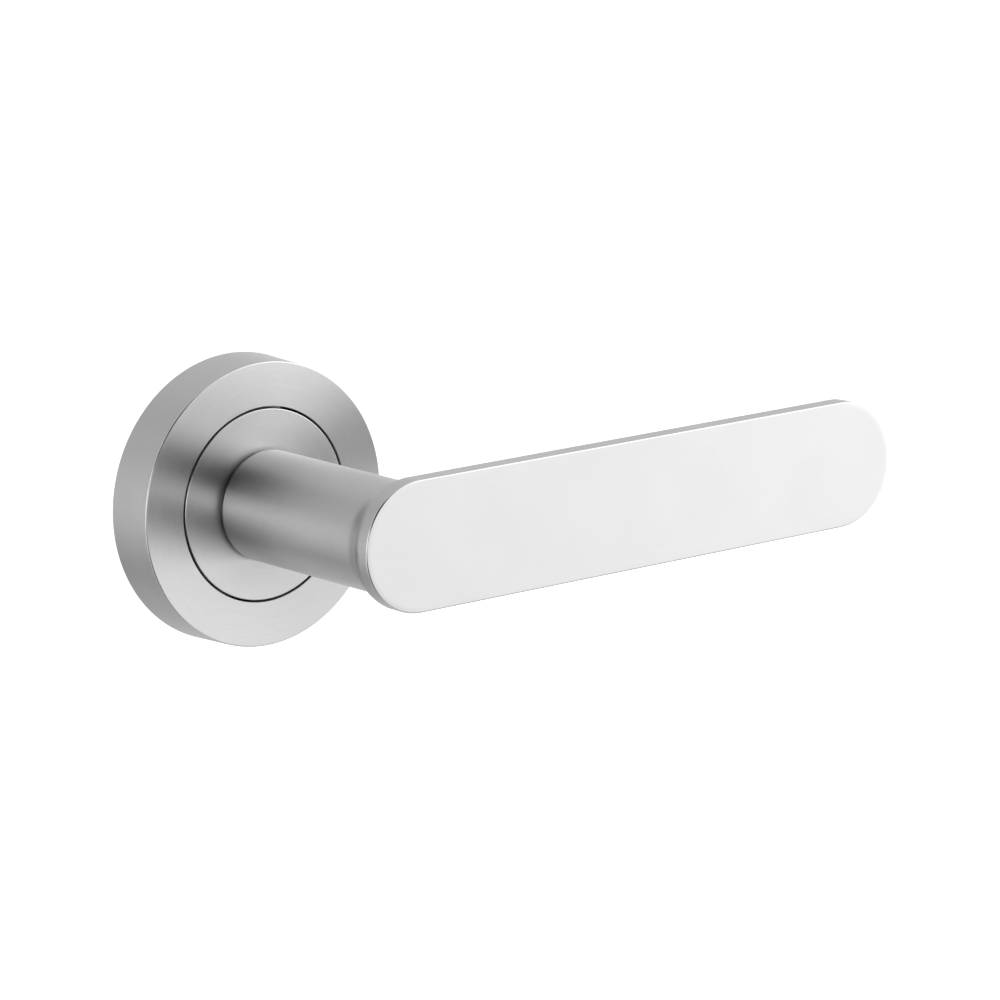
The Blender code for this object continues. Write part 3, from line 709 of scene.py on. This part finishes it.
def make_wood_screws():
    """Countersunk screws with a cross recess and a coarse thread that runs out to the point."""
    core, crest, pitch = 0.00115, 0.0016, 0.0014
    head, shank = WOOD_HEAD / core, crest / core * 0.97
    rim = 0.0001
    plain = -0.002
    thread_start = plain - 0.0003
    taper = WOOD_POINT + 0.0032
    point = 0.04
    count = 110
    rows = [
        (WOOD_HEAD_FRONT, head * 0.97, 0.0),
        (WOOD_HEAD_FRONT - rim, head, 0.0),
        (WOOD_HEAD_BACK, shank, 0.0),
        (plain, shank, 0.0),
    ]
    for i in range(count + 1):
        depth = thread_start + (WOOD_POINT - thread_start) * i / count
        body = min(1.0, max(point, (depth - WOOD_POINT) / (taper - WOOD_POINT)))
        rows.append((depth, body, min(1.0, body * 1.2) if depth - WOOD_POINT > pitch / 3 else 0.0))
    made = []
    for name, turn in (("upper", 0.0), ("lower", math.pi)):
        place = polar(WOOD_RADIUS, WOOD_ANGLE + turn)
        screw = threaded(f"wood_thread_{name}", rows, core, crest, pitch, place=place)
        cut_cross(screw, place, WOOD_HEAD_FRONT, length=0.0036, width=0.0007, depth=0.0009)
        made.append((smooth(screw, math.radians(40)), f"wood_screw_{name}"))
    return made


def make_housing_screws():
    """Pan head machine screws with a cross recess and a fine thread."""
    core, pitch = SCREW_RADIUS * 0.84, 0.0005
    head = SCREW_HEAD / core
    high = SCREW_HEAD_FRONT - SCREW_HEAD_BACK
    crown = 0.72
    under, thread_start = SCREW_HEAD_BACK - 0.00001, SCREW_HEAD_BACK - 0.0001
    thread_from, thread_to = 0.08, 0.93
    rows = []
    for i in range(EDGE_STEPS + 1):
        rise = math.radians(90 - 90 * i / EDGE_STEPS)
        body = head * (crown + (1 - crown) * math.cos(rise))
        rows.append((SCREW_HEAD_BACK + high * math.sin(rise), body, 0.0))
    rows += [(SCREW_HEAD_BACK, head * 0.97, 0.0), (under, 1.0, 0.0)]
    count = 56
    for i in range(count + 1):
        share = i / count
        depth = thread_start + (SCREW_POINT - thread_start) * share
        body = 1.0 if share < thread_to else 0.9
        rows.append((depth, body, 1.0 if thread_from < share < thread_to else 0.0))
    made = []
    for name, turn in (("right", 0.0), ("left", math.pi)):
        place = polar(EAR_RADIUS, turn)
        screw = threaded(f"pan_screw_{name}", rows, core, SCREW_RADIUS, pitch, sharp=0.45, place=place)
        cut_cross(screw, place, SCREW_HEAD_FRONT, length=0.0026, width=0.0006, depth=0.0008)
        made.append((smooth(screw, math.radians(40)), f"housing_screw_{name}"))
    return made


def make_grip_ring():
    """A rubber ring of round section with a faint parting line, sprung into the plate's groove."""
    depth = PLATE_FRONT / 2
    sides = 20
    profile = [(GRIP_RADIUS + GRIP_WIRE * 0.96, depth)]
    for i in range(1, sides):
        across, up = polar(GRIP_WIRE, 2 * math.pi * i / sides)
        profile.append((GRIP_RADIUS + across, depth - up))
    return smooth(turned("rubber_grip", profile), math.radians(60))


def make_spring():
    """One round wire: a fixed leg, the coil, and a leg that stands up into the drive plate."""
    steps = 120
    near = 0.0004
    leg_radii = [SPRING_LEG] + [SPRING_RADIUS + near * steps_out for steps_out in (4, 3, 2)]
    bend = 0.0006
    path = [polar(radius, SPRING_START) + (SPRING_BACK,) for radius in leg_radii]
    coil = SPRING_TURNS * 2 * math.pi
    for i in range(steps + 1):
        share = i / steps
        angle = SPRING_START - SPRING_LEAD - (coil - 2 * SPRING_LEAD) * share
        path.append(polar(SPRING_RADIUS, angle) + (SPRING_BACK + SPRING_TURNS * SPRING_PITCH * share,))
    end = polar(SPRING_RADIUS, SPRING_START - coil)
    coil_front = SPRING_BACK + SPRING_TURNS * SPRING_PITCH
    path += [end + (coil_front + bend,), end + (SPRING_TIP,)]
    curve = bpy.data.curves.new("spring_path", "CURVE")
    curve.dimensions = "3D"
    curve.bevel_depth = SPRING_WIRE
    curve.bevel_resolution = 5
    curve.use_fill_caps = True
    spline = curve.splines.new("POLY")
    spline.points.add(len(path) - 1)
    for point, (x, z, depth) in zip(spline.points, path):
        point.co = (x, -depth, z, 1)
    wire = add("wire", curve)
    mesh = bpy.data.meshes.new_from_object(wire.evaluated_get(bpy.context.evaluated_depsgraph_get()))
    bpy.data.objects.remove(wire, do_unlink=True)
    shape = bmesh.new()
    shape.from_mesh(mesh)
    bmesh.ops.remove_doubles(shape, verts=shape.verts, dist=0.000001)
    shape.to_mesh(mesh)
    shape.free()
    return smooth(add("torsion_spring", mesh), math.radians(50))


# ---------------------------------------------------------------- materials

class Nodes:
    """Short calls for building a node tree. Those that return a value return its socket."""

    def __init__(self, tree):
        self.tree = tree
        self.tree.nodes.clear()

    def add(self, kind, inputs=(), **settings):
        node = self.tree.nodes.new(kind)
        for key, value in settings.items():
            setattr(node, key, value)
        for key, value in dict(inputs).items():
            if isinstance(value, bpy.types.NodeSocket):
                self.tree.links.new(value, node.inputs[key])
            else:
                node.inputs[key].default_value = value
        return node

    def maths(self, operation, *values):
        return self.add("ShaderNodeMath", dict(enumerate(values)), operation=operation).outputs[0]

    def length(self, vector):
        return self.add("ShaderNodeVectorMath", {0: vector}, operation="LENGTH").outputs["Value"]

    def combine(self, x, y, z):
        return self.add("ShaderNodeCombineXYZ", {0: x, 1: y, 2: z}).outputs[0]

    def noise(self, vector, scale, detail=3.0, roughness=0.55):
        inputs = {"Vector": vector, "Scale": scale, "Detail": detail, "Roughness": roughness}
        return self.add("ShaderNodeTexNoise", inputs).outputs["Fac"]

    def spread(self, value, low, high, start=0.3, end=0.7):
        """Maps a value between start and end to between low and high."""
        inputs = {"Value": value, "From Min": start, "From Max": end, "To Min": low, "To Max": high}
        return self.add("ShaderNodeMapRange", inputs, clamp=True).outputs["Result"]

    def blend(self, one, share, two):
        """Part of one value and the rest of another."""
        part, rest = self.maths("MULTIPLY", one, share), self.maths("MULTIPLY", two, round(1 - share, 6))
        return self.maths("ADD", part, rest)

    def ramp(self, factor, low, high):
        """A colour between two others."""
        inputs = {"Factor": factor, 6: (*low, 1), 7: (*high, 1)}
        return self.add("ShaderNodeMix", inputs, data_type="RGBA").outputs[2]

    def mix(self, factor, one, two):
        return self.add("ShaderNodeMix", {"Factor": factor, 2: one, 3: two}, data_type="FLOAT").outputs[0]

    def mix_vector(self, factor, one, two):
        return self.add("ShaderNodeMix", {"Factor": factor, 4: one, 5: two}, data_type="VECTOR").outputs[1]

    def surface(self, inputs):
        """Ends a material in a Principled BSDF."""
        shader = self.add("ShaderNodeBsdfPrincipled", inputs)
        self.add("ShaderNodeOutputMaterial", {0: shader.outputs[0]})


def new_material(name):
    """A material and its empty node tree."""
    material = bpy.data.materials.new(name)
    material.use_nodes = True
    return material, Nodes(material.node_tree)


def brushed_steel(name, front, edge, blade_back=None):
    """Satin stainless steel with turned brush lines about the axis. In front of blade_back, where that is
    given, they run straight along the blade. The eased edge behind the front plane is rubbed smoother."""
    material, n = new_material(name)
    place = n.add("ShaderNodeTexCoord").outputs["Object"]
    x, y, z = n.add("ShaderNodeSeparateXYZ", {0: place}).outputs
    angle = n.maths("ARCTAN2", z, x)
    along = n.combine(z, 0.0, n.maths("MULTIPLY", x, -1.0))
    grain_place = n.combine(n.length(n.combine(x, 0.0, z)), y, n.maths("MULTIPLY", angle, TURNED_STRETCH))
    if blade_back is not None:
        on_blade = n.maths("LESS_THAN", y, -blade_back)
        straight = n.combine(n.maths("MULTIPLY", x, BLADE_STRETCH), y, z)
        grain_place = n.mix_vector(on_blade, grain_place, straight)
        along = n.mix_vector(on_blade, along, n.combine(1.0, 0.0, 0.0))
    tangent = n.add("ShaderNodeVectorTransform", {0: along}, vector_type="VECTOR", convert_from="OBJECT",
                    convert_to="WORLD").outputs[0]
    broad = n.noise(grain_place, BROAD_LINES, 4.0)
    cloud = n.noise(place, CLOUDS, 3.0)
    grain = n.blend(n.noise(grain_place, FINE_LINES, 2.0), 0.6, broad)
    if blade_back is not None:
        calm = n.spread(on_blade, 1.0, BLADE_CALM, 0.0, 1.0)
        grain = n.maths("MULTIPLY_ADD", n.maths("SUBTRACT", grain, 0.5), calm, 0.5)
    behind = n.maths("ADD", y, front)
    past_skin, on_edge = n.maths("GREATER_THAN", behind, FRONT_SKIN), n.maths("LESS_THAN", behind, edge)
    rubbed = n.maths("MULTIPLY", past_skin, on_edge)
    glossy, dull = STEEL_ROUGHNESS - STEEL_ROUGHNESS_SPREAD, STEEL_ROUGHNESS + STEEL_ROUGHNESS_SPREAD
    satin = n.spread(n.blend(broad, 0.5, cloud), glossy, dull)
    shade = n.spread(n.blend(grain, 0.7, cloud), 0.0, 1.0)
    low = [STEEL_TONE * share for share in (0.93, 0.93, 0.94)]
    high = [STEEL_TONE * share for share in (1.06, 1.06, 1.065)]
    bump = n.add("ShaderNodeBump", {"Height": grain, "Strength": 0.05, "Distance": 0.00003})
    n.surface({
        "Base Color": n.ramp(shade, low, high),
        "Metallic": 1.0,
        "Roughness": n.mix(rubbed, satin, RUBBED_ROUGHNESS),
        "Anisotropic": STEEL_ANISOTROPY,
        "Anisotropic Rotation": 0.25,
        "Tangent": tangent,
        "Normal": bump.outputs[0],
    })
    return material


def mottled(name, low, high, roughness, metallic=1.0):
    """A plated, oiled or moulded surface with small spots, and slow changes of colour and gloss."""
    material, n = new_material(name)
    place = n.add("ShaderNodeTexCoord").outputs["Object"]
    spots_scale, cloud_scale = 400.0, 50.0
    roughness_spread = 0.06
    spots = n.noise(place, spots_scale, 4.0)
    cloud = n.noise(place, cloud_scale, 2.0)
    bump = n.add("ShaderNodeBump", {"Height": spots, "Strength": 0.15, "Distance": 0.00005})
    n.surface({
        "Base Color": n.ramp(n.spread(n.blend(spots, 0.5, cloud), 0.0, 1.0), low, high),
        "Metallic": metallic,
        "Roughness": n.spread(cloud, roughness - roughness_spread, roughness + roughness_spread),
        "Normal": bump.outputs[0],
    })
    return material


# ---------------------------------------------------------------- studio

def build_world():
    """A soft studio for the metal to reflect, and plain white where the camera sees past the floor."""
    world = bpy.data.worlds.new("studio")
    bpy.context.scene.world = world
    world.use_nodes = True
    n = Nodes(world.node_tree)
    direction = n.add("ShaderNodeTexCoord").outputs["Generated"]
    x, y, z = n.add("ShaderNodeSeparateXYZ", {0: direction}).outputs
    azimuth = n.maths("ARCTAN2", x, n.maths("MULTIPLY", y, -1.0))
    elevation = n.maths("ARCSINE", z)
    total = WORLD_BASE
    for middle, height, wide, high, soft, strength in SOFTBOXES + DARK_CARDS:
        off = n.maths("WRAP", n.maths("SUBTRACT", azimuth, math.radians(middle)), math.pi, -math.pi)
        rise = n.maths("SUBTRACT", elevation, math.radians(height))
        shares = []
        for away, half in ((off, wide), (rise, high)):
            fade = math.radians(half - soft / 2), math.radians(half + soft / 2)
            shares.append(n.spread(n.maths("ABSOLUTE", away), 1.0, 0.0, *fade))
        glow = n.maths("MULTIPLY", n.maths("MULTIPLY", *shares), strength)
        total = n.maths("ADD", total, glow)
    seen = n.add("ShaderNodeLightPath").outputs["Is Camera Ray"]
    level = n.mix(seen, n.maths("MAXIMUM", total, LEAST_LIGHT), WHITE_BEHIND)
    background = n.add("ShaderNodeBackground", {"Color": (1, 1, 1, 1), "Strength": level})
    n.add("ShaderNodeOutputWorld", {0: background.outputs[0]})


def build_floor():
    """A pale floor below the handle, which lights it from below but doesn't show in its reflections."""
    shape = bmesh.new()
    bmesh.ops.create_grid(shape, x_segments=4, y_segments=4, size=FLOOR_HALF)
    mesh = bpy.data.meshes.new("floor")
    shape.to_mesh(mesh)
    shape.free()
    floor = add("floor", mesh)
    floor.location.z = cad_bounds[0][2] - FLOOR_DROP
    material, n = new_material("pale_floor")
    place = n.add("ShaderNodeTexCoord").outputs["Object"]
    tint = n.ramp(n.noise(place, 3.0), (0.93, 0.93, 0.93), (0.95, 0.95, 0.95))
    white = (1, 1, 1, 1)
    n.surface({"Base Color": tint, "Roughness": 0.9, "Emission Color": white, "Emission Strength": 0.6})
    mesh.materials.append(material)
    floor.visible_glossy = False


def build_camera():
    """A long lens at the photograph's angle, aimed at a point on the handle."""
    data = bpy.data.cameras.new("camera")
    data.lens = CAMERA_LENS
    data.sensor_width = SENSOR
    data.clip_start = 0.01
    data.clip_end = 60
    camera = bpy.data.objects.new("camera", data)
    bpy.context.scene.collection.objects.link(camera)
    a, e = CAMERA_AZIMUTH, CAMERA_ELEVATION
    back = Vector((math.sin(a) * math.cos(e), -math.cos(a) * math.cos(e), math.sin(e)))
    right = Vector((0, 0, 1)).cross(back).normalized()
    up = back.cross(right)
    turn = Matrix((right, up, back)).transposed() @ Matrix.Rotation(CAMERA_ROLL, 3, "Z")
    camera.matrix_world = Matrix.Translation(CAMERA_AIM + back * CAMERA_DISTANCE) @ turn.to_4x4()
    bpy.context.scene.camera = camera


bpy.context.scene.view_settings.view_transform = "Standard"
build_camera()
build_world()
build_floor()

turned_steel = brushed_steel("turned_stainless", ROSE_DEPTH, COVER_EDGE)
lever_steel = brushed_steel("lever_stainless", BLADE_FRONT, BLADE_EDGE, BLADE_BACK)
zinc = mottled("zinc_plate", (0.50, 0.51, 0.53), (0.66, 0.67, 0.69), 0.38)
spring_steel = mottled("oiled_spring_steel", (0.26, 0.26, 0.27), (0.40, 0.40, 0.42), 0.34)
oxide = mottled("black_oxide", (0.04, 0.04, 0.045), (0.09, 0.09, 0.10), 0.42)
nylon = mottled("nylon", (0.74, 0.73, 0.69), (0.83, 0.82, 0.78), 0.45, metallic=0.0)
rubber = mottled("rubber", (0.02, 0.02, 0.02), (0.045, 0.045, 0.045), 0.7, metallic=0.0)

# Piece, the CAD node it stands for, the body it rides on and its material. The spring spans two bodies, so it
# rides on neither and stays where it is made.
pieces = [
    (make_lever(), "lever", "lever", lever_steel),
    (make_disc(), "collar_disc", "lever", turned_steel),
    (make_cover(), "rose_cover", "cover", turned_steel),
    (make_spindle(), "spindle", "lever", zinc),
    (make_grub(), "grub_screw", "lever", oxide),
    (make_drive_plate(), "drive_plate", "lever", zinc),
    (make_rear_washer(), "rear_washer", "lever", zinc),
    (make_wave_washer(), "wave_washer", "lever", spring_steel),
    (make_circlip(), "circlip", "lever", spring_steel),
    (make_base_plate(), "base_plate", "base", zinc),
    (make_bush(), "bearing_bush", "base", nylon),
    (make_housing(), "spring_housing", "base", zinc),
    (make_grip_ring(), "grip_ring", "base", rubber),
    (make_spring(), "return_spring", None, spring_steel),
]
fasteners = make_posts() + make_wood_screws() + make_housing_screws()
pieces += [(piece, node, "base", zinc) for piece, node in fasteners]

for piece, node, body, material in pieces:
    piece.data.materials.clear()
    piece.data.materials.append(material)
    if body:
        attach(piece, body)
    else:
        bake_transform(piece)
    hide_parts(node)
